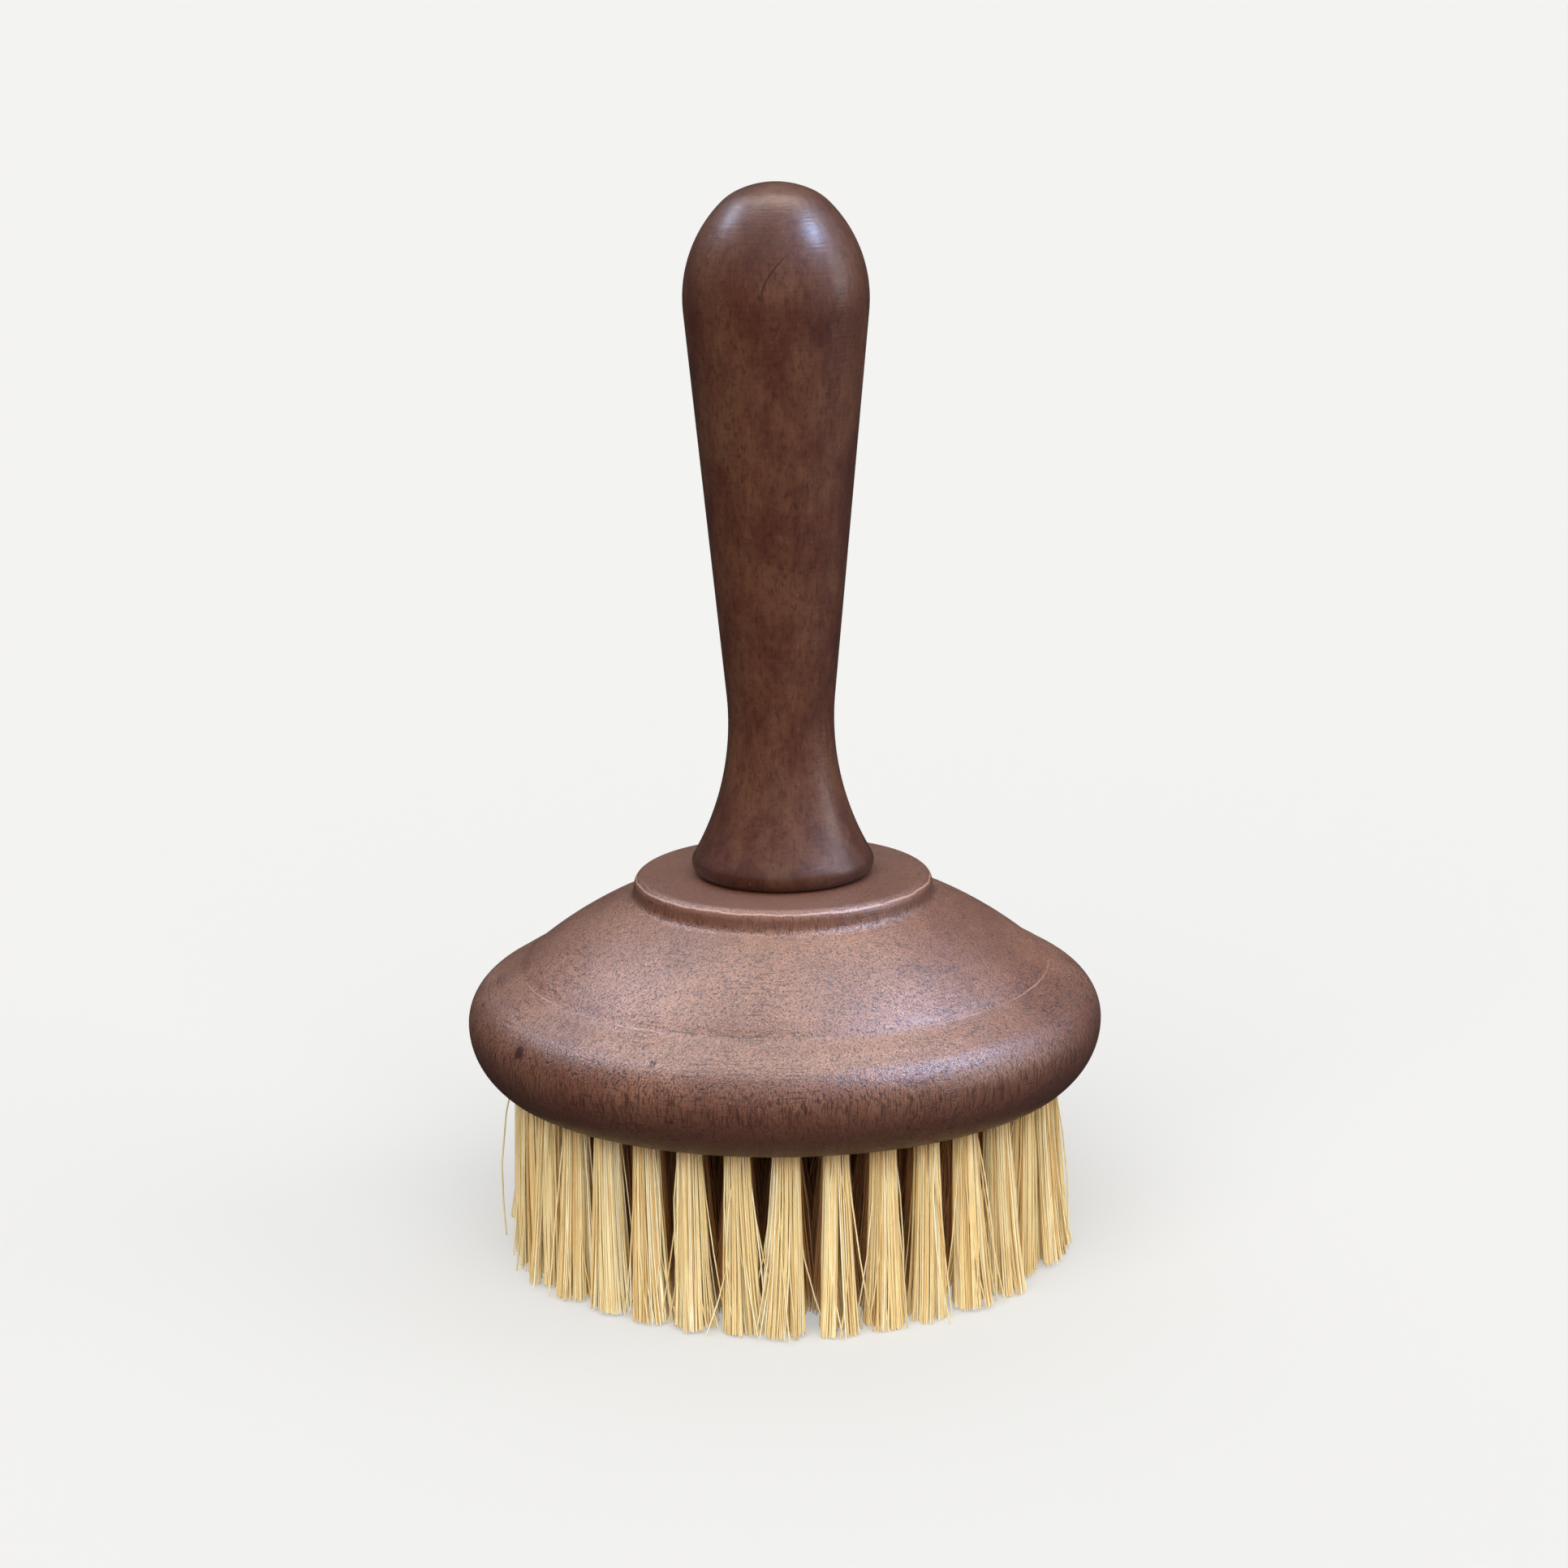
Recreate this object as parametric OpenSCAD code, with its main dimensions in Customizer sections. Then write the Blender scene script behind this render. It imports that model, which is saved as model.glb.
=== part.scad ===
// Round beard brush: a turned wooden head set with rows of plant-fibre tufts,
// and a turned club-shaped handle that a glued dowel joins to it.
// It stands on its trimmed bristle ends at z = 0, with the handle up along +Z.

/* [Bristles] */
// Free length of the bristles, from their trimmed ends to the head
bristle_len = 23; // [18:0.5:30]
// Diameter of a tuft hole, and of the packed tuft in it
tuft_d = 3.2; // [2.6:0.1:3.6]
// Diameter of a tuft at its trimmed end, where the fibres spread
tuft_end_d = 5; // [3.8:0.1:5.1]
// Depth of a tuft hole, up to where its drill point starts
hole_depth = 8.5; // [6:0.5:9]
// Distance from the brush's axis to the outer row of holes
outer_row_r = 32.2; // [31.5:0.1:32.8]
// Distance from one row of holes to the next
row_gap = 5.7; // [5.6:0.1:5.8]
// Distance between neighbouring holes along a row
tuft_pitch = 5.78; // [5.7:0.01:5.9]
// Outward lean of the outer row's holes, in degrees
outer_lean = 1.2; // [0:0.1:2]

/* [Anchors] */
// Thickness of the flat wire that an anchor is cut from
anchor_t = 0.4; // [0.3:0.05:0.6]
// Width of the flat wire, which lies along the hole
anchor_w = 1.6; // [1.2:0.1:2]
// How far each end of an anchor bites into the wall of its hole
anchor_bite = 0.25; // [0.1:0.05:0.3]
// Thickness of the fibres that fold over an anchor
fold_t = 1; // [0.6:0.1:1.5]

/* [Head] */
// Greatest diameter of the head, round its rim
head_d = 78.4; // [78:0.2:81]
// Height of the head, from its flat underside to the top of its boss
head_h = 24.5; // [24:0.5:27]
// Height of the rim's widest line above the underside
rim_h = 6.3; // [6:0.1:6.6]
// Radius of the rim's rounding below its widest line
rim_low_r = 7.9; // [7:0.1:9]
// Radius of the rim's rounding above its widest line
rim_high_r = 5.5; // [5.4:0.1:6.2]
// Diameter of the turned crease between the rim and the flank
crease_d = 65; // [61:0.2:66]
// Radius of the flank's slight bulge, from the crease to the boss
flank_r = 50; // [30:1:120]
// Diameter of the boss that the handle stands on
boss_d = 36.8; // [34:0.2:38]
// Height of the boss above the flank
boss_h = 2.7; // [2:0.1:3]

/* [Handle] */
// Length of the handle, from its foot to the tip of its knob
handle_len = 84.2; // [82:0.2:95]
// Diameter of the foot
foot_d = 22.4; // [20:0.2:26]
// Radius of the foot's rounded lower edge
foot_edge_r = 1.6; // [1:0.1:2]
// Least diameter of the handle, at its neck
neck_d = 13; // [12:0.2:15]
// Height of the neck above the foot
neck_h = 19.5; // [18:0.5:22]
// Greatest diameter of the handle, at the shoulder of its knob
knob_d = 22.3; // [20:0.1:26]

/* [Dowel] */
// Diameter of the dowel that joins the handle to the head
dowel_d = 8; // [6:0.5:8]
// Length of the dowel
dowel_len = 30; // [24:1:30]
// Length of the dowel that is glued into the head
dowel_in_head = 12; // [8:0.5:12]
// Glue room left past each end of the dowel
glue_room = 0.5; // [0.2:0.1:1]
// Number of glue flutes round the dowel
flute_count = 12; // [6:1:16]

/* [Hidden] */
$fn = 96;

// How far a cutting shape runs on past the face that it opens.
overcut = 1;

// Heights of the joints between the pieces.
head_z = bristle_len;
handle_z = head_z + head_h;

// Rows of tufts, from the outermost inwards: their radii, how many tufts each
// holds, and how far they lean.
row_total = floor(outer_row_r / row_gap) + 1;
row_r = [for (i = [0:row_total - 1]) outer_row_r - i * row_gap];
row_tufts = [for (r = row_r) round(2 * PI * r / tuft_pitch)];
row_lean = [for (i = [0:row_total - 1]) i == 0 ? outer_lean : 0];

// Names of the nodes: one for each tuft of the outer row, and one for each
// whole row inside it.
function two_digits(n) = n < 10 ? str("0", n) : str(n);
function outer_name(n) = str("tuft_outer_", two_digits(n));
function row_name(i) = str("tuft_row_", i + 1);
outer_names = [for (n = [1:row_tufts[0]]) outer_name(n)];
row_names = [for (i = [1:row_total - 1]) row_name(i)];

// Points along the arc of radius abs(r) from p to q. Travelling from p to q,
// the arc bulges to the right where r is positive and to the left where it is
// negative.
function bow(p, q, r, n = 16) =
    let (d = q - p,
         half = norm(d) / 2,
         left = [-d.y, d.x] / norm(d),
         c = (p + q) / 2 + sign(r) * sqrt(r * r - half * half) * left,
         a0 = atan2(p.y - c.y, p.x - c.x),
         turn = sign(r) * 2 * asin(half / abs(r)))
    [for (i = [0:n]) c + abs(r) * [cos(a0 + turn * i / n), sin(a0 + turn * i / n)]];

// Outline of the head from its axis outwards and up, with its underside at
// height 0: rim, crease, flank, cove and boss.
head_r = head_d / 2;
boss_r = boss_d / 2;
rim_turn = 67;
rim_low = [head_r - rim_low_r + sqrt(pow(rim_low_r, 2) - pow(rim_h, 2)), 0];
rim_wide = [head_r, rim_h];
rim_high = [head_r - rim_high_r * (1 - cos(rim_turn)), rim_h + rim_high_r * sin(rim_turn)];
crease_rise = 2;
crease = [crease_d / 2, rim_high.y + crease_rise];
rim_top_r = 24;
cove_r = 1.2;
cove_w = 0.5;
cove_h = 0.7;
wall_taper = 0.1;
boss_edge_r = 1.3;
flank_top = [boss_r + cove_w, head_h - boss_h];
cove_top = [boss_r + wall_taper, flank_top.y + cove_h];
boss_wall_top = [boss_r, head_h - boss_edge_r];
boss_top = [boss_r - boss_edge_r, head_h];
head_outline = concat(
    [[0, 0]],
    bow(rim_low, rim_wide, rim_low_r),
    bow(rim_wide, rim_high, rim_high_r),
    bow(rim_high, crease, rim_top_r, 4),
    bow(crease, flank_top, flank_r),
    bow(flank_top, cove_top, -cove_r, 4),
    bow(boss_wall_top, boss_top, boss_edge_r, 6),
    [[0, head_h]]);

// Outline of the handle, with its foot at height 0: rounded foot edge, hollow
// flare, straight taper to the shoulder, and a blunt knob.
foot_turn = 25;
flare_r = 34;
taper = 5.4;
neck_r = neck_d / 2;
foot_rim_r = foot_d / 2 - foot_edge_r;
foot_edge_top = [foot_rim_r + foot_edge_r * cos(foot_turn), foot_edge_r * (1 + sin(foot_turn))];
neck_top = [neck_r + flare_r * (1 - cos(taper)), neck_h + flare_r * sin(taper)];
knob_side_r = 16;
knob_side_turn = 45;
knob_edge_r = 7;
knob_edge_turn = 68;
knob_h = 13.7;
shoulder_c = [knob_d / 2 - knob_side_r, handle_len - knob_h];
shoulder = shoulder_c + knob_side_r * [cos(taper), -sin(taper)];
knob_side_top = shoulder_c + knob_side_r * [cos(knob_side_turn), sin(knob_side_turn)];
knob_edge_c = knob_side_top - knob_edge_r * [cos(knob_side_turn), sin(knob_side_turn)];
knob_edge_top = knob_edge_c + knob_edge_r * [cos(knob_edge_turn), sin(knob_edge_turn)];
cap_h = handle_len - knob_edge_top.y;
cap_r = (pow(knob_edge_top.x, 2) + pow(cap_h, 2)) / (2 * cap_h);
handle_outline = concat(
    [[0, 0]],
    bow([foot_rim_r, 0], foot_edge_top, foot_edge_r, 8),
    bow(foot_edge_top, neck_top, -flare_r, 16),
    bow(shoulder, knob_side_top, knob_side_r, 14),
    bow(knob_side_top, knob_edge_top, knob_edge_r, 6),
    bow(knob_edge_top, [0, handle_len], cap_r, 5));

// Places what follows at tuft n of row i: at the mouth of its hole, with +Z
// into the wood and +X away from the brush's axis. The first tuft of each row
// faces the front, along -Y.
module at_tuft(i, n) {
    rotate([0, 0, 360 * (n - 1) / row_tufts[i] - 90])
        translate([row_r[i], 0, head_z])
            rotate([0, -row_lean[i], 0])
                children();
}

// The flat anchor, across the fold near the bottom of a tuft hole.
module anchor_at_hole() {
    length = tuft_d + 2 * anchor_bite;
    rotate([0, 0, 90])
        translate([-length / 2, -anchor_t / 2, hole_depth - fold_t - anchor_w])
            cube([length, anchor_t, anchor_w]);
}

// A drilled tuft hole with its drill point, open through the underside.
module hole_at_mouth() {
    point_share = 0.3;
    point_h = point_share * tuft_d;
    point_tip_d = 0.2;
    translate([0, 0, -overcut]) cylinder(h = hole_depth + overcut, d = tuft_d);
    translate([0, 0, hole_depth]) cylinder(h = point_h, d1 = tuft_d, d2 = point_tip_d);
    anchor_at_hole();
}

// One tuft: a bundle folded over its anchor, packed tight in its hole and
// spreading to its end. It runs on past the trim, which cuts it flat.
module tuft_at_mouth() {
    spread = (tuft_end_d - tuft_d) / 2 / bristle_len;
    run = bristle_len + overcut;
    difference() {
        union() {
            cylinder(h = hole_depth, d = tuft_d);
            translate([0, 0, -run]) cylinder(h = run, r1 = tuft_d / 2 + spread * run, r2 = tuft_d / 2);
        }
        anchor_at_hole();
    }
}

// Cuts off what reaches below the plane of the trimmed ends.
module trimmed() {
    cut_depth = 10;
    difference() {
        children();
        translate([-head_d, -head_d, -cut_depth]) cube([2 * head_d, 2 * head_d, cut_depth]);
    }
}

module tuft(i, n) {
    color("burlywood") trimmed() at_tuft(i, n) tuft_at_mouth($fn = 24);
}

module tuft_row(i) {
    for (n = [1:row_tufts[i]]) tuft(i, n);
}

module tuft_anchors() {
    color("silver")
        for (i = [0:row_total - 1])
            for (n = [1:row_tufts[i]])
                at_tuft(i, n) anchor_at_hole();
}

module head_block() {
    color("rosybrown")
        difference() {
            translate([0, 0, head_z]) rotate_extrude() polygon(head_outline);
            for (i = [0:row_total - 1])
                for (n = [1:row_tufts[i]])
                    at_tuft(i, n) hole_at_mouth($fn = 24);
            translate([0, 0, handle_z - dowel_in_head - glue_room])
                cylinder(h = dowel_in_head + glue_room + overcut, d = dowel_d);
        }
}

module handle() {
    bore_depth = dowel_len - dowel_in_head + glue_room;
    color("saddlebrown")
        translate([0, 0, handle_z])
            difference() {
                rotate_extrude() polygon(handle_outline);
                translate([0, 0, -overcut]) cylinder(h = bore_depth + overcut, d = dowel_d);
            }
}

module handle_dowel() {
    chamfer = 0.8;
    flute_r = 0.4;
    color("wheat")
        translate([0, 0, handle_z - dowel_in_head])
            difference() {
                union() {
                    cylinder(h = chamfer, d1 = dowel_d - 2 * chamfer, d2 = dowel_d);
                    translate([0, 0, chamfer]) cylinder(h = dowel_len - 2 * chamfer, d = dowel_d);
                    translate([0, 0, dowel_len - chamfer])
                        cylinder(h = chamfer, d1 = dowel_d, d2 = dowel_d - 2 * chamfer);
                }
                for (k = [1:flute_count])
                    rotate([0, 0, 360 * k / flute_count])
                        translate([dowel_d / 2, 0, -overcut])
                            cylinder(h = dowel_len + 2 * overcut, r = flute_r, $fn = 16);
            }
}

handle();
handle_dowel();
head_block();
tuft_anchors();
for (n = [1:row_tufts[0]])
    tuft(0, n);
for (i = [1:row_total - 1])
    tuft_row(i);
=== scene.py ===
import math

import bmesh
import bpy
import numpy as np
from mathutils import Matrix, Vector


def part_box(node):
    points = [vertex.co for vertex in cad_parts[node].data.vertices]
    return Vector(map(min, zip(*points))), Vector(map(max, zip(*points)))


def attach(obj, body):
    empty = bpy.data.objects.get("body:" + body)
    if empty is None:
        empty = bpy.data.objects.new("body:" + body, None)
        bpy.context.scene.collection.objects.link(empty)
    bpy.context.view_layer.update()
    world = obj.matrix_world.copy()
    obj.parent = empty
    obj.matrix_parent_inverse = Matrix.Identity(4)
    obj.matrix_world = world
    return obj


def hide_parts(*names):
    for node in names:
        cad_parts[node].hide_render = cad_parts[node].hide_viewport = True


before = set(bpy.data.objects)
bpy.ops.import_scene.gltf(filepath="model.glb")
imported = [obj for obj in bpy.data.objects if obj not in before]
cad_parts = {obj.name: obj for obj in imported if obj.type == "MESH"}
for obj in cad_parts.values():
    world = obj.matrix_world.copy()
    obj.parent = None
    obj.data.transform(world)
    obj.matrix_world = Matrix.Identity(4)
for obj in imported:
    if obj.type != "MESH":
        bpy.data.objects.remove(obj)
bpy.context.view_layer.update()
mm = 0.001


# ---------------------------------------------------------------- the camera
# A long lens not half a metre in front of the brush, a little above the knob
# and looking down by about 14 degrees, held a touch off level.
camera_from = Vector((0.25, -436.9, 166.2)) * mm
camera_to = Vector((0.25, 0, 58.6)) * mm
camera_roll = math.radians(-0.7)

camera = bpy.data.objects.new("camera", bpy.data.cameras.new("camera"))
camera.data.lens = 84.3
camera.data.sensor_width = 36
camera.location = camera_from
aim = (camera_to - camera_from).to_track_quat("-Z", "Y")
camera.rotation_euler = (aim.to_matrix() @ Matrix.Rotation(camera_roll, 3, "Z")).to_euler()
bpy.context.scene.collection.objects.link(camera)
bpy.context.scene.camera = camera


# ------------------------------------------------------------------ the head
# The head is one block of beech, turned on the lathe with its grain along the
# handle, stained, and drilled from below for 117 tufts and from above for the
# handle's dowel. The edge of its boss is rubbed back to the paler wood.
head_low, head_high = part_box("head_block")
head_z = head_low.z / mm
head_h = (head_high.z - head_low.z) / mm
head_r = head_high.x / mm
rim_h = 6.3
rim_low_r = 7.9
rim_high_r = 5.5
rim_turn = math.radians(67)
crease_r = 32.5
crease_rise = 2
rim_top_r = 24
flank_r = 50
boss_r = 18.4
boss_h = 2.7
boss_edge_r = 1.3
cove_r = 1.2
cove_w = 0.5
cove_h = 0.7
wall_taper = 0.1
socket_r = 4
socket_h = 12.5
under_edge = 0.4
lathe_steps = 192

outer_row_r = 32.2
row_gap = 5.7
tuft_pitch = 5.78
outer_lean = math.radians(1.2)
hole_r = 1.6
hole_depth = 8.5
hole_point = 0.96
hole_sides = 16
row_total = 6
row_radii = [outer_row_r - row_gap * row for row in range(row_total)]
row_tufts = [round(2 * math.pi * radius / tuft_pitch) for radius in row_radii]


def arc(start, end, radius, steps):
    """Points after start along the arc to end. It bulges to the right of the way
    travelled, or to the left where radius is negative."""
    start, end = Vector(start), Vector(end)
    way = end - start
    half = way.length / 2
    left = Vector((-way.y, way.x)).normalized()
    centre = (start + end) / 2 + math.copysign(math.sqrt(radius**2 - half**2), radius) * left
    first = math.atan2(start.y - centre.y, start.x - centre.x)
    turn = math.copysign(2 * math.asin(half / abs(radius)), radius)
    angles = [first + turn * step / steps for step in range(1, steps + 1)]
    return [centre + abs(radius) * Vector((math.cos(a), math.sin(a))) for a in angles]


def turned(outline, foot_z):
    """A new bmesh of an outline of (radius, height) points, spun about the axis."""
    bm = bmesh.new()
    ring = [bm.verts.new((r * mm, 0, (foot_z + z) * mm)) for r, z in outline]
    line = [bm.edges.new(pair) for pair in zip(ring, ring[1:])]
    bmesh.ops.spin(
        bm, geom=ring + line, cent=(0, 0, 0), axis=(0, 0, 1),
        angle=2 * math.pi, steps=lathe_steps, use_merge=True,
    )
    bmesh.ops.remove_doubles(bm, verts=bm.verts, dist=0.0001 * mm)
    return bm


def piece(name, bm, sharp_over=30):
    """Turns a bmesh into a piece of the brush, smooth but for edges over sharp_over degrees."""
    mesh = bpy.data.meshes.new(name)
    bmesh.ops.recalc_face_normals(bm, faces=bm.faces)
    bm.to_mesh(mesh)
    bm.free()
    mesh.shade_smooth()
    mesh.set_sharp_from_angle(angle=math.radians(sharp_over))
    made = bpy.data.objects.new(name, mesh)
    bpy.context.scene.collection.objects.link(made)
    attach(made, "root")
    return made


def tuft_axis(row, turn):
    """Where a tuft's hole opens in the underside, and the way it runs into the wood."""
    angle = 2 * math.pi * turn / row_tufts[row] - math.pi / 2
    out = Vector((math.cos(angle), math.sin(angle), 0))
    lean = outer_lean if row == 0 else 0
    mouth = (out * row_radii[row] + Vector((0, 0, head_z))) * mm
    return mouth, Vector((0, 0, math.cos(lean))) - out * math.sin(lean), out


rim_low = Vector((head_r - rim_low_r + math.sqrt(rim_low_r**2 - rim_h**2), 0))
rim_wide = Vector((head_r, rim_h))
rim_high = rim_wide + rim_high_r * Vector((math.cos(rim_turn) - 1, math.sin(rim_turn)))
crease = Vector((crease_r, rim_high.y + crease_rise))
flank_top = Vector((boss_r + cove_w, head_h - boss_h))
cove_top = Vector((boss_r + wall_taper, flank_top.y + cove_h))
boss_wall_top = Vector((boss_r, head_h - boss_edge_r))
boss_top = Vector((boss_r - boss_edge_r, head_h))
head_outline = [
    rim_low - Vector((under_edge, 0)),
    *arc(rim_low, rim_wide, rim_low_r, 20),
    *arc(rim_wide, rim_high, rim_high_r, 18),
    *arc(rim_high, crease, rim_top_r, 8),
    *arc(crease, flank_top, flank_r, 24),
    *arc(flank_top, cove_top, -cove_r, 6),
    boss_wall_top,
    *arc(boss_wall_top, boss_top, boss_edge_r, 8),
    (socket_r, head_h),
    (socket_r, head_h - socket_h),
    (0, head_h - socket_h),
]
bm = turned(head_outline, head_z)
mouths = []
for row, count in enumerate(row_tufts):
    for turn in range(count):
        mouth, inward, _ = tuft_axis(row, turn)
        ring = bmesh.ops.create_circle(
            bm, segments=hole_sides, radius=hole_r * mm, matrix=Matrix.Translation(mouth)
        )["verts"]
        mouths.append((ring, mouth, inward))
underside = [e for e in bm.edges if all(abs(v.co.z - head_z * mm) < 0.001 * mm for v in e.verts)]
bmesh.ops.triangle_fill(bm, edges=underside, use_beauty=True, normal=(0, 0, -1))
for ring, mouth, inward in mouths:
    edges = list({e for v in ring for e in v.link_edges if e.other_vert(v) in ring})
    wall = bmesh.ops.extrude_edge_only(bm, edges=edges)["geom"]
    bmesh.ops.translate(
        bm, vec=inward * hole_depth * mm, verts=[v for v in wall if isinstance(v, bmesh.types.BMVert)]
    )
    end = [e for e in wall if isinstance(e, bmesh.types.BMEdge)]
    point = bmesh.ops.extrude_edge_only(bm, edges=end)["geom"]
    bmesh.ops.pointmerge(
        bm, verts=[v for v in point if isinstance(v, bmesh.types.BMVert)],
        merge_co=mouth + inward * (hole_depth + hole_point) * mm,
    )
head = piece("head", bm)
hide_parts("head_block")


def put(tree, socket, value):
    """Joins a socket to another one, or sets it to a number or colour."""
    if isinstance(value, bpy.types.NodeSocket):
        tree.links.new(value, socket)
    else:
        socket.default_value = value


def material(name):
    """A new material, its node tree and its Principled shader."""
    made = bpy.data.materials.new(name)
    made.use_nodes = True
    return made, made.node_tree, made.node_tree.nodes["Principled BSDF"]


def colour(red, green, blue):
    """A colour named as on screen, 0 to 255, as the shader's own linear values."""
    parts = [c / 255 for c in (red, green, blue)]
    return *((c / 12.92 if c <= 0.04045 else ((c + 0.055) / 1.055) ** 2.4) for c in parts), 1


def place(tree, stretch=1):
    """Points of the piece in millimetres, drawn out along the grain by stretch."""
    points = tree.nodes.new("ShaderNodeTexCoord").outputs["Object"]
    mapping = tree.nodes.new("ShaderNodeMapping")
    mapping.inputs["Scale"].default_value = (1 / mm, 1 / mm, 1 / mm / stretch)
    put(tree, mapping.inputs["Vector"], points)
    return mapping.outputs["Vector"]


def noise(tree, where, size, detail=2, roughness=0.5, twist=0):
    """Noise with features about size millimetres across, from 0 to 1."""
    made = tree.nodes.new("ShaderNodeTexNoise")
    put(tree, made.inputs["Vector"], where)
    made.inputs["Scale"].default_value = 1 / size
    made.inputs["Detail"].default_value = detail
    made.inputs["Roughness"].default_value = roughness
    made.inputs["Distortion"].default_value = twist
    return made.outputs["Fac"]


def between(tree, value, low, high, to_low=0, to_high=1):
    """A value eased from to_low at low to to_high at high."""
    made = tree.nodes.new("ShaderNodeMapRange")
    made.interpolation_type = "SMOOTHSTEP"
    put(tree, made.inputs["Value"], value)
    for name, number in zip(("From Min", "From Max", "To Min", "To Max"), (low, high, to_low, to_high)):
        made.inputs[name].default_value = number
    return made.outputs["Result"]


def maths(tree, operation, *values):
    """One step of arithmetic on sockets or numbers."""
    made = tree.nodes.new("ShaderNodeMath")
    made.operation = operation
    for socket, value in zip(made.inputs, values):
        put(tree, socket, value)
    return made.outputs[0]


def mix(tree, share, under, over):
    """Lays colour over on colour under."""
    made = tree.nodes.new("ShaderNodeMix")
    made.data_type = "RGBA"
    put(tree, made.inputs["Factor"], share)
    put(tree, made.inputs[6], under)
    put(tree, made.inputs[7], over)
    return made.outputs[2]


def bump(tree, height, depth, strength=1, under=None):
    """A normal from a height of 0 to 1, depth millimetres deep."""
    made = tree.nodes.new("ShaderNodeBump")
    made.inputs["Distance"].default_value = depth * mm
    made.inputs["Strength"].default_value = strength
    put(tree, made.inputs["Height"], height)
    if under:
        put(tree, made.inputs["Normal"], under)
    return made.outputs["Normal"]


def radius_and_height(tree):
    """How far a point is from the axis and above the bench, and its angle round the axis."""
    split = tree.nodes.new("ShaderNodeSeparateXYZ")
    put(tree, split.inputs[0], place(tree))
    x, y, z = split.outputs
    square = maths(tree, "ADD", maths(tree, "MULTIPLY", x, x), maths(tree, "MULTIPLY", y, y))
    radius = maths(tree, "SQRT", square)
    return radius, z, maths(tree, "ARCTAN2", y, x)


def combined(tree, x, y, z):
    """A point made of three sockets or numbers."""
    made = tree.nodes.new("ShaderNodeCombineXYZ")
    for socket, value in zip(made.inputs, (x, y, z)):
        put(tree, socket, value)
    return made.outputs[0]


def near(tree, points, spot, size):
    """1 near a spot on the piece, falling to 0 at size millimetres from it."""
    away = tree.nodes.new("ShaderNodeVectorMath")
    away.operation = "DISTANCE"
    put(tree, away.inputs[0], points)
    away.inputs[1].default_value = spot
    return between(tree, away.outputs["Value"], size * 0.6, size, 1, 0)


def band(tree, value, middle, width):
    """1 where value is within width of middle, falling to 0 at twice that."""
    off = maths(tree, "ABSOLUTE", maths(tree, "SUBTRACT", value, middle))
    return between(tree, off, width, 2 * width, 1, 0)


boss_top_z = head_z + head_h
knot = (-31.5, -22.4, 31.8)
dent = (-15.4, -33.6, 33.9)


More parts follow.
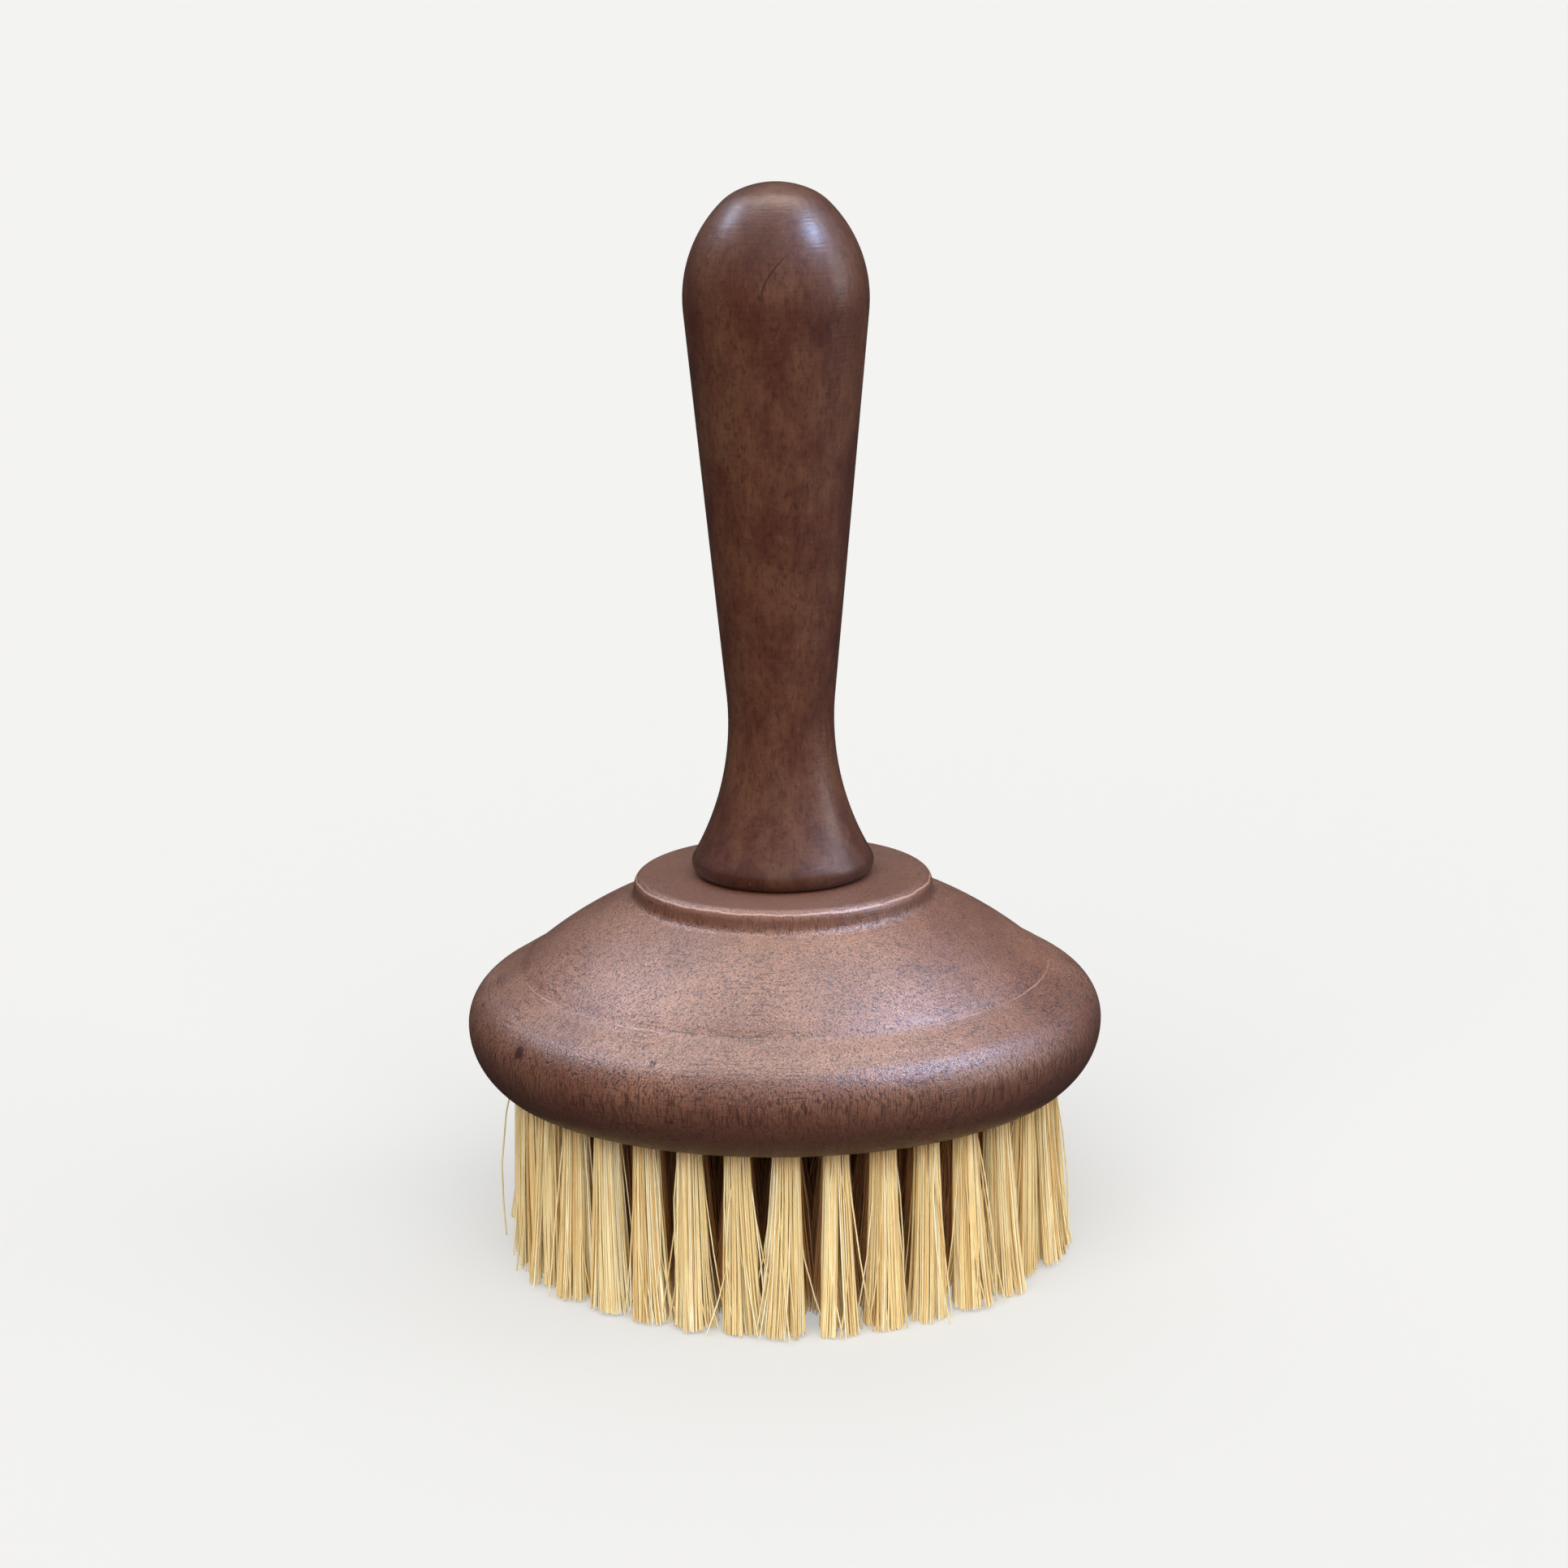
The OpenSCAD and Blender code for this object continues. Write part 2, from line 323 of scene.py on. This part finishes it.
def stained_beech():
    made, tree, shader = material("stained_beech")
    points = place(tree)
    grain = place(tree, 10)
    radius, height, angle = radius_and_height(tree)
    patches = noise(tree, points, 14, 4, 0.6)
    streaks = noise(tree, grain, 0.9, 4, 0.65)
    pores = noise(tree, grain, 0.17, 1, 0.5)
    dashes = noise(tree, place(tree, 7), 0.3, 1, 0.5)
    grit = noise(tree, points, 0.17, 2, 0.7)
    wood = mix(tree, between(tree, patches, 0.34, 0.66), colour(124, 78, 59), colour(156, 108, 84))
    wood = mix(tree, between(tree, streaks, 0.35, 0.7, 0, 0.4), wood, colour(88, 52, 41))
    wood = mix(tree, between(tree, grit, 0.5, 0.68, 0, 0.5), wood, colour(176, 134, 112))
    wood = mix(tree, between(tree, grit, 0.34, 0.46, 0.55, 0), wood, colour(60, 32, 25))
    wood = mix(tree, between(tree, pores, 0.52, 0.64, 0, 0.7), wood, colour(50, 27, 21))
    wood = mix(tree, between(tree, dashes, 0.58, 0.66, 0, 0.7), wood, colour(42, 22, 17))
    # Painted shade: the rim is darker, most of all low down, where less light reaches it.
    rim_shade = between(tree, height, head_z + 2.5, head_z + 12.5, 0.85, 0)
    wood = mix(tree, rim_shade, wood, colour(72, 40, 31))
    # The end grain on top of the boss is smoother and even in colour.
    on_boss = between(tree, height, boss_top_z - boss_h, boss_top_z - 1.6, 0, 0.7)
    wood = mix(tree, on_boss, wood, colour(110, 72, 59))
    # Painted shade darkens the corner below the boss, at the foot of its wall.
    cove_height = band(tree, height, boss_top_z - 1.8, 0.5)
    cove_shade = maths(tree, "MULTIPLY", cove_height, band(tree, radius, boss_r + 0.3, 0.5))
    wood = mix(tree, maths(tree, "MULTIPLY", cove_shade, 0.2), wood, colour(64, 36, 29))
    # Fine rings from the turning tool show here and there.
    along = combined(tree, radius, height, maths(tree, "MULTIPLY", angle, 3))
    turning = noise(tree, along, 0.22, 2, 0.6, 0.4)
    ring_patch = between(tree, noise(tree, points, 9, 2), 0.46, 0.58)
    rings = maths(tree, "MULTIPLY", between(tree, turning, 0.56, 0.64), ring_patch)
    wood = mix(tree, maths(tree, "MULTIPLY", rings, 0.55), wood, colour(46, 25, 20))
    # The stain is rubbed off along the edge of the boss, and here and there along the crease.
    waver = maths(tree, "MULTIPLY", maths(tree, "SUBTRACT", noise(tree, points, 2.2, 3), 0.5), 0.35)
    wavy = maths(tree, "ADD", radius, waver)
    on_edge = between(tree, height, boss_top_z - 1.6, boss_top_z - 1.2)
    rubbed = maths(tree, "MULTIPLY", band(tree, wavy, boss_r - 0.3, 0.055), on_edge)
    rub_share = between(tree, noise(tree, points, 3, 3, 0.7), 0.3, 0.5, 0.45, 0.9)
    rubbed = maths(tree, "MULTIPLY", rubbed, rub_share)
    # At the front the varnish is cracked along the crease instead.
    cracked_side = between(tree, maths(tree, "SINE", angle), -0.92, -0.86, 1, 0)
    worn_side = between(tree, noise(tree, points, 9, 2, 0.6), 0.4, 0.58, 0.1, 0.6)
    worn_side = maths(tree, "MULTIPLY", worn_side, maths(tree, "SUBTRACT", 1, cracked_side))
    above_rim = between(tree, height, head_z + 10, head_z + 10.5)
    crease_worn = maths(tree, "MULTIPLY", band(tree, wavy, crease_r + 0.2, 0.06), above_rim)
    crease_worn = maths(tree, "MULTIPLY", crease_worn, worn_side)
    wood = mix(tree, maths(tree, "MAXIMUM", rubbed, crease_worn), wood, colour(178, 136, 116))
    cracked = maths(tree, "MULTIPLY", band(tree, wavy, crease_r - 0.15, 0.06), above_rim)
    crack_share = between(tree, noise(tree, points, 2, 2), 0.4, 0.6, 0, 0.7)
    cracked = maths(tree, "MULTIPLY", cracked, maths(tree, "MULTIPLY", cracked_side, crack_share))
    wood = mix(tree, cracked, wood, colour(46, 26, 20))
    # In places the varnish has crazed into small plates, most of all on the rim.
    plates = tree.nodes.new("ShaderNodeTexVoronoi")
    plates.feature = "DISTANCE_TO_EDGE"
    warped = noise(tree, points, 3, 2)
    plate_points = tree.nodes.new("ShaderNodeVectorMath")
    plate_points.operation = "ADD"
    put(tree, plate_points.inputs[0], place(tree, 2.2))
    put(tree, plate_points.inputs[1], combined(tree, warped, warped, warped))
    put(tree, plates.inputs["Vector"], plate_points.outputs[0])
    plates.inputs["Scale"].default_value = 1 / 1.1
    plates.inputs["Randomness"].default_value = 0.8
    crazed = between(tree, plates.outputs["Distance"], 0.02, 0.065, 1, 0)
    crazed = maths(tree, "MULTIPLY", crazed, between(tree, noise(tree, points, 5, 3), 0.48, 0.62))
    crazed = maths(tree, "MULTIPLY", crazed, between(tree, height, head_z + 13, head_z + 16, 0.45, 0.1))
    wood = mix(tree, crazed, wood, colour(44, 24, 19))
    # One small knot and one dent, both on the rim.
    wood = mix(tree, near(tree, points, knot, 1), wood, colour(58, 28, 22))
    wood = mix(tree, near(tree, points, dent, 0.4), wood, colour(42, 22, 17))
    put(tree, shader.inputs["Base Color"], wood)
    put(tree, shader.inputs["Roughness"], between(tree, grit, 0.4, 0.6, 0.5, 0.33))
    shader.inputs["Specular IOR Level"].default_value = 0.75
    hollows = maths(tree, "ADD", pores, between(tree, dashes, 0.58, 0.68, 0, 0.6))
    relief = bump(tree, noise(tree, points, 1.2, 3, 0.6), 0.07, 0.8)
    relief = bump(tree, maths(tree, "SUBTRACT", grit, hollows), 0.045, 0.9, relief)
    relief = bump(tree, maths(tree, "SUBTRACT", 1, rings), 0.03, 0.6, relief)
    dented = maths(tree, "SUBTRACT", 1, near(tree, points, dent, 0.5))
    relief = bump(tree, dented, 0.15, 1, relief)
    # The tool has left a shallow valley just outside the crease.
    from_valley = maths(tree, "ABSOLUTE", maths(tree, "SUBTRACT", radius, crease_r + 1.1))
    valley = maths(tree, "MULTIPLY", between(tree, from_valley, 0, 2.3, 1, 0), above_rim)
    put(tree, shader.inputs["Normal"], bump(tree, maths(tree, "SUBTRACT", 1, valley), 0.17, 1, relief))
    return made


head.data.materials.append(stained_beech())


# ---------------------------------------------------------------- the anchors
# Each tuft is folded over a short length of flat steel wire, which is driven
# into its hole and bites into the wood on both sides.
def flat_wire():
    made, tree, shader = material("flat_wire")
    scratches = noise(tree, place(tree, 0.1), 0.5, 3)
    steel = mix(tree, scratches, colour(120, 118, 114), colour(190, 188, 184))
    put(tree, shader.inputs["Base Color"], steel)
    put(tree, shader.inputs["Roughness"], between(tree, scratches, 0.3, 0.7, 0.25, 0.45))
    shader.inputs["Metallic"].default_value = 1
    return made


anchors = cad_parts["tuft_anchors"]
anchors.data.materials.clear()
anchors.data.materials.append(flat_wire())


# ------------------------------------------------------------------ the tufts
# Bundles of stiff, straight plant fibre, packed tight in their holes, trimmed
# nearly level and a little spread at the ends. A few strays cross the gaps. The
# tufts of the outer row, which show, have more fibres than those inside it.
bristle_len = head_z
outer_end_r = 2.5
inner_end_r = 2.9
fibre_d = 0.19
fibre_in_hole = 2.5
packed_r = hole_r - fibre_d / 2
clump_scatter = 0.55
own_share = 0.74
clump_share = 0.36
stray_share = 0.09
stray_bow = 5
outer_fibres = 225
inner_fibres = 120
# Where each fibre has its points, as shares of its length: -1 is inside the hole,
# 0 at the hole's mouth and 1 at the tip.
outer_stops = (-1, 0, 0.3, 0.6, 0.82, 1)
inner_stops = (-1, 0, 0.45, 1)
random = np.random.default_rng(41)


def fibre_paths(row, turn, count, stops):
    """Points along each fibre of a tuft, from inside its hole to its tip."""
    mouth, inward, out = tuft_axis(row, turn)
    end_r = outer_end_r if row == 0 else inner_end_r
    round_way = Vector((-out.y, out.x, 0))
    angle = random.uniform(0, 2 * math.pi, count)
    share = np.sqrt(random.uniform(0, 1, count))
    disc = np.c_[share * np.cos(angle), share * np.sin(angle)]
    # Fibres gather into a few clumps towards their tips, and a few stray sideways.
    clumps = random.normal(0, clump_scatter, (random.integers(4, 8), 2))
    nearest = clumps[np.argmin(((disc[:, None] - clumps) ** 2).sum(2), axis=1)]
    gathered = disc * own_share + nearest * clump_share
    tip = gathered * end_r * random.uniform(0.95, 1.25)
    tip += random.normal(0, 0.1, (count, 2)) + random.normal(0, 0.35, 2)
    stray = random.uniform(0, 1, count) < stray_share
    tip[stray] += random.normal(0, (0.6, 1.6), (stray.sum(), 2))
    start = disc * packed_r
    bow = random.normal(0, 0.1, (count, 2))
    bow[stray] *= stray_bow
    short = np.minimum(np.abs(random.normal(0, 0.2, count)), 0.5) + random.uniform(0, 0.45)
    paths = np.empty((count, len(stops), 3))
    for k, stop in enumerate(stops):
        down = max(stop, 0)
        length = bristle_len - short if stop > 0 else np.full(count, fibre_in_hole)
        spread = 0.35 * down + 0.65 * down**2
        across = start + (tip - start) * spread + bow * math.sin(math.pi * down)
        centre = np.array(mouth) / mm - np.outer(stop * length, np.array(inward))
        sideways = np.outer(across[:, 0], np.array(out)) + np.outer(across[:, 1], np.array(round_way))
        paths[:, k] = centre + sideways
    return paths * mm


def bundle(name, paths):
    """Round fibres along the paths, as one piece, each with its own tone."""
    curve = bpy.data.curves.new(name, "CURVE")
    curve.dimensions = "3D"
    curve.bevel_depth = fibre_d / 2 * mm
    curve.bevel_resolution = 0
    curve.use_fill_caps = True
    for path in paths:
        spline = curve.splines.new("POLY")
        spline.points.add(len(path) - 1)
        spline.points.foreach_set("co", np.c_[path, np.ones(len(path))].ravel())
    drawn = bpy.data.objects.new(name + "_drawn", curve)
    mesh = bpy.data.meshes.new_from_object(drawn)
    bpy.data.objects.remove(drawn)
    mesh.name = name
    mesh.shade_smooth()
    tones = random.uniform(0, 1, len(paths))
    tone = mesh.attributes.new("tone", "FLOAT", "POINT")
    tone.data.foreach_set("value", np.repeat(tones, len(mesh.vertices) // len(paths)).astype(np.float32))
    made = bpy.data.objects.new(name, mesh)
    bpy.context.scene.collection.objects.link(made)
    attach(made, "root")
    return made


def plant_fibre():
    made, tree, shader = material("plant_fibre")
    tone = tree.nodes.new("ShaderNodeAttribute")
    tone.attribute_name = "tone"
    ramp = tree.nodes.new("ShaderNodeValToRGB")
    put(tree, ramp.inputs["Fac"], tone.outputs["Fac"])
    shades = [
        (0, colour(226, 184, 118)),
        (0.2, colour(245, 217, 155)),
        (0.7, colour(253, 234, 180)),
        (1, colour(255, 248, 218)),
    ]
    while len(ramp.color_ramp.elements) < len(shades):
        ramp.color_ramp.elements.new(0.5)
    for element, (position, shade) in zip(ramp.color_ramp.elements, shades):
        element.position = position
        element.color = shade
    blotches = noise(tree, place(tree, 6), 0.7, 3)
    blotched = between(tree, blotches, 0.45, 0.75, 0, 0.4)
    straw = mix(tree, blotched, ramp.outputs["Color"], colour(216, 170, 104))
    # Painted shade: deep in the brush and up at the roots, where shade falls between the fibres, they are
    # browner, but at their tips they are pale.
    radius, height, _ = radius_and_height(tree)
    deep_shade = between(tree, radius, outer_row_r - 4, outer_row_r - 1, 0.75, 0)
    deep_shade = maths(tree, "MULTIPLY", deep_shade, between(tree, height, 0.5, 4, 0.15, 1))
    root = between(tree, height, head_z - 5, head_z + 1, 0, 0.4)
    straw = mix(tree, maths(tree, "MAXIMUM", deep_shade, root), straw, colour(196, 122, 56))
    put(tree, shader.inputs["Base Color"], straw)
    put(tree, shader.inputs["Roughness"], between(tree, blotches, 0.3, 0.7, 0.38, 0.52))
    shader.inputs["Specular IOR Level"].default_value = 0.4
    return made


fibre_look = plant_fibre()
for row, count in enumerate(row_tufts):
    for turn in range(count):
        number = f"{turn + 1:02d}"
        if row == 0:
            name, node = f"tuft_{number}", f"tuft_outer_{number}"
            paths = fibre_paths(row, turn, outer_fibres, outer_stops)
        else:
            name, node = f"tuft_{row + 1}_{number}", f"tuft_row_{row + 1}"
            paths = fibre_paths(row, turn, inner_fibres, inner_stops)
        tuft = bundle(name, paths)
        tuft.data.materials.append(fibre_look)
        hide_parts(node)


# ------------------------------------------------------------------ the dowel
# A fluted beech dowel, left raw, glued down into the head and up into the
# handle. Its CAD shape is kept, with the look of clean new wood.
def raw_beech():
    made, tree, shader = material("raw_beech")
    streaks = noise(tree, place(tree, 9), 0.6, 4, 0.6)
    flecks = noise(tree, place(tree, 7), 0.25, 2)
    wood = mix(tree, between(tree, streaks, 0.3, 0.7), colour(206, 172, 132), colour(226, 196, 158))
    wood = mix(tree, between(tree, flecks, 0.58, 0.68, 0, 0.6), wood, colour(158, 112, 76))
    put(tree, shader.inputs["Base Color"], wood)
    put(tree, shader.inputs["Roughness"], between(tree, streaks, 0.3, 0.7, 0.6, 0.75))
    put(tree, shader.inputs["Normal"], bump(tree, flecks, 0.05, 0.5))
    return made


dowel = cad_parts["handle_dowel"]
dowel.data.materials.clear()
dowel.data.materials.append(raw_beech())


# ----------------------------------------------------------------- the handle
# One piece of beech turned to a club: a flared foot, a waist, a long straight
# taper and a blunt knob. It is stained darker than the head and waxed.
handle_low, handle_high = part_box("handle")
handle_z = handle_low.z / mm
handle_len = (handle_high.z - handle_low.z) / mm
foot_r = 11.2
foot_edge_r = 1.6
foot_turn = math.radians(25)
neck_r = 6.5
neck_h = 19.5
flare_r = 34
taper = math.radians(5.4)
knob_r = 11.15
knob_h = 13.7
knob_side_r = 16
knob_side_turn = math.radians(45)
knob_edge_r = 7
knob_edge_turn = math.radians(68)
bore_h = 18.5


def on_arc(centre, radius, angle):
    return centre + radius * Vector((math.cos(angle), math.sin(angle)))


foot_rim = Vector((foot_r - foot_edge_r, 0))
foot_edge_top = on_arc(foot_rim + Vector((0, foot_edge_r)), foot_edge_r, foot_turn)
neck_top = Vector((neck_r + flare_r, neck_h)) - on_arc(Vector((0, 0)), flare_r, -taper)
shoulder_centre = Vector((knob_r - knob_side_r, handle_len - knob_h))
shoulder = on_arc(shoulder_centre, knob_side_r, -taper)
knob_side_top = on_arc(shoulder_centre, knob_side_r, knob_side_turn)
knob_edge_centre = on_arc(shoulder_centre, knob_side_r - knob_edge_r, knob_side_turn)
knob_edge_top = on_arc(knob_edge_centre, knob_edge_r, knob_edge_turn)
cap_h = handle_len - knob_edge_top.y
cap_r = (knob_edge_top.x**2 + cap_h**2) / (2 * cap_h)
handle_outline = [
    (0, bore_h),
    (socket_r, bore_h),
    (socket_r, 0),
    foot_rim,
    *arc(foot_rim, foot_edge_top, foot_edge_r, 12),
    *arc(foot_edge_top, neck_top, -flare_r, 32),
    shoulder,
    *arc(shoulder, knob_side_top, knob_side_r, 28),
    *arc(knob_side_top, knob_edge_top, knob_edge_r, 12),
    *arc(knob_edge_top, (0, handle_len), cap_r, 12),
]
handle = piece("handle_grip", turned(handle_outline, handle_z))
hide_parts("handle")


patch_stretch = 1.25
dark_patch = (5.3, -9.5, 114.8 / patch_stretch)
scratch_low = 119
scratch_angle = math.radians(-98.8)
scratch_bow = math.radians(0.65)


def waxed_beech():
    made, tree, shader = material("waxed_beech")
    patches = noise(tree, place(tree, 1.8), 6, 4, 0.65)
    reds = noise(tree, place(tree, 2.5), 2.6, 3, 0.65, 0.4)
    mottle = noise(tree, place(tree, 1.5), 0.8, 3, 0.7)
    streaks = noise(tree, place(tree, 9), 1.1, 4, 0.6)
    flecks = noise(tree, place(tree, 6), 0.24, 2, 0.6)
    specks = noise(tree, place(tree, 1.5), 0.6, 1)
    wood = mix(tree, between(tree, patches, 0.36, 0.64), colour(76, 41, 30), colour(97, 62, 44))
    wood = mix(tree, between(tree, reds, 0.46, 0.66, 0, 0.4), wood, colour(78, 36, 27))
    wood = mix(tree, between(tree, mottle, 0.5, 0.7, 0, 0.45), wood, colour(48, 23, 16))
    wood = mix(tree, between(tree, mottle, 0.3, 0.46, 0.25, 0), wood, colour(112, 74, 56))
    wood = mix(tree, between(tree, streaks, 0.45, 0.75, 0, 0.3), wood, colour(58, 27, 20))
    wood = mix(tree, between(tree, flecks, 0.55, 0.68, 0, 0.45), wood, colour(40, 19, 14))
    wood = mix(tree, between(tree, specks, 0.76, 0.8, 0, 0.45), wood, colour(134, 94, 78))
    # A dark patch under the wax, and a shallow bowed scratch over it.
    in_patch = near(tree, place(tree, patch_stretch), dark_patch, 1.6)
    wood = mix(tree, maths(tree, "MULTIPLY", in_patch, 0.4), wood, colour(52, 18, 13))
    radius, height, angle = radius_and_height(tree)
    up_scratch = maths(tree, "SUBTRACT", height, scratch_low)
    bowed = maths(tree, "MULTIPLY", maths(tree, "POWER", up_scratch, 2), scratch_bow)
    across = maths(tree, "SUBTRACT", maths(tree, "SUBTRACT", angle, scratch_angle), bowed)
    scratch_height = band(tree, height, scratch_low + 2.6, 1.6)
    scratch = maths(tree, "MULTIPLY", band(tree, across, 0, 0.008), scratch_height)
    wood = mix(tree, maths(tree, "MULTIPLY", scratch, 0.7), wood, colour(38, 18, 14))
    # Painted shade: the thin edge of the foot, down against the head, is darker.
    foot_shade = between(tree, height, handle_z + 1.5, handle_z + 4, 0.4, 0)
    wood = mix(tree, foot_shade, wood, colour(46, 24, 18))
    # Faint rings left by the turning tool catch the light on the knob.
    turning = noise(tree, combined(tree, radius, height, angle), 0.35, 2)
    put(tree, shader.inputs["Base Color"], wood)
    put(tree, shader.inputs["Roughness"], between(tree, mottle, 0.25, 0.75, 0.46, 0.56))
    shader.inputs["Specular IOR Level"].default_value = 0.25
    shader.inputs["Coat Weight"].default_value = 0.3
    shader.inputs["Coat Roughness"].default_value = 0.3
    uneven = bump(tree, noise(tree, place(tree, 2), 3.5, 2), 0.12, 0.5)
    ringed = bump(tree, turning, 0.04, 0.6, uneven)
    relief = bump(tree, maths(tree, "SUBTRACT", 1, maths(tree, "ADD", flecks, scratch)), 0.02, 0.5, ringed)
    put(tree, shader.inputs["Normal"], relief)
    put(tree, shader.inputs["Coat Normal"], ringed)
    return made


handle.data.materials.append(waxed_beech())


# --------------------------------------------------------- the bench and light
# A plain pale bench, wide enough to fill the view, under soft daylight from
# above and in front. Windows and pale walls on both sides are seen only in the
# gloss of the wood.
bench_r = 12
bench_sides = 64
bm = bmesh.new()
bmesh.ops.create_circle(bm, cap_ends=True, segments=bench_sides, radius=bench_r)
bench_mesh = bpy.data.meshes.new("bench")
bm.to_mesh(bench_mesh)
bm.free()
bench = bpy.data.objects.new("bench", bench_mesh)
bpy.context.scene.collection.objects.link(bench)
# Seen directly the bench is pale, with a glow that softens the shadow on it.
# In the gloss of the wood it is dark, and from below it is clear.
made, tree, shader = material("pale_bench")
path = tree.nodes.new("ShaderNodeLightPath")
bench_colour = mix(tree, path.outputs["Is Camera Ray"], (0.03, 0.03, 0.03, 1), (0.355, 0.355, 0.352, 1))
put(tree, shader.inputs["Base Color"], bench_colour)
shader.inputs["Emission Color"].default_value = (0.385, 0.385, 0.38, 1)
put(tree, shader.inputs["Emission Strength"], path.outputs["Is Camera Ray"])
shader.inputs["Roughness"].default_value = 0.9
shader.inputs["Specular IOR Level"].default_value = 0
geometry = tree.nodes.new("ShaderNodeNewGeometry")
clear = tree.nodes.new("ShaderNodeBsdfTransparent")
one_sided = tree.nodes.new("ShaderNodeMixShader")
put(tree, one_sided.inputs[0], geometry.outputs["Backfacing"])
put(tree, one_sided.inputs[1], shader.outputs[0])
put(tree, one_sided.inputs[2], clear.outputs[0])
put(tree, tree.nodes["Material Output"].inputs["Surface"], one_sided.outputs[0])
bench.data.materials.append(made)
# A lamp from below stands in for the light that the bench throws back.
bench.visible_diffuse = False
bench.visible_shadow = False

world = bpy.data.worlds.new("daylight")
bpy.context.scene.world = world
world.use_nodes = True
tree = world.node_tree
sky = tree.nodes["Background"]
sky.inputs["Color"].default_value = (1, 1, 1, 1)
sky.inputs["Strength"].default_value = 0.06
seen = tree.nodes.new("ShaderNodeBackground")
seen.inputs["Color"].default_value = (0.885, 0.885, 0.872, 1)
path = tree.nodes.new("ShaderNodeLightPath")
both = tree.nodes.new("ShaderNodeMixShader")
put(tree, both.inputs[0], path.outputs["Is Camera Ray"])
put(tree, both.inputs[1], sky.outputs[0])
put(tree, both.inputs[2], seen.outputs[0])
put(tree, tree.nodes["World Output"].inputs["Surface"], both.outputs[0])
bpy.context.scene.view_settings.view_transform = "Standard"


lamp_away = 0.9
lamp_aim = Vector((0, 0, 70 * mm))


def light(name, kind, azimuth, elevation, **settings):
    """A lamp aimed at the brush, by its angle to the right of the camera and above the bench."""
    lamp = bpy.data.lights.new(name, kind)
    for setting, value in settings.items():
        setattr(lamp, setting, value)
    made = bpy.data.objects.new(name, lamp)
    turn, rise = math.radians(azimuth), math.radians(elevation)
    way = Vector((math.sin(turn) * math.cos(rise), -math.cos(turn) * math.cos(rise), math.sin(rise)))
    made.location = lamp_aim + way * lamp_away
    made.rotation_euler = way.to_track_quat("Z", "Y").to_euler()
    made.visible_camera = False
    bpy.context.scene.collection.objects.link(made)
    return made


def sun(name, azimuth, elevation, energy, spread, shade=(1, 1, 1)):
    """Daylight from a patch of sky, spread degrees wide, which leaves no gloss."""
    settings = dict(energy=energy, angle=math.radians(spread), color=shade)
    light(name, "SUN", azimuth, elevation, **settings).visible_glossy = False


def glow(name, azimuth, elevation, energy, width, height, shade=(1, 1, 1)):
    """A bright patch of the room, seen only in the gloss. Its sides are in metres."""
    settings = dict(energy=energy, shape="RECTANGLE", size=width, size_y=height, color=shade)
    light(name, "AREA", azimuth, elevation, **settings).visible_diffuse = False


sun("overhead", 180, 78, 1.1, 110)
sun("front", -5, 42, 3.7, 70, (1, 0.99, 0.97))
sun("right", 80, 20, 1.3, 60, (1, 0.97, 0.94))
sun("from_below", 0, -70, 0.8, 120, (1, 0.95, 0.9))
sun("behind", 180, 30, 0.7, 90)
pale_wall = (1, 0.94, 0.87)
blue_window = (0.42, 0.6, 1)
glow("ceiling", -175, 80, 8.2, 0.75, 0.45, pale_wall)
glow("left_wall", -116, 50, 2.9, 0.6, 0.35, pale_wall)
glow("right_wall", 96, 54, 1.5, 0.45, 0.45)
glow("doorway", 88, 17, 2.4, 0.25, 0.45, (0.92, 0.94, 1))
glow("left_window", -113, 47, 2.8, 0.18, 0.18, blue_window)
glow("right_window", 78, 49, 11, 0.2, 0.2, blue_window)
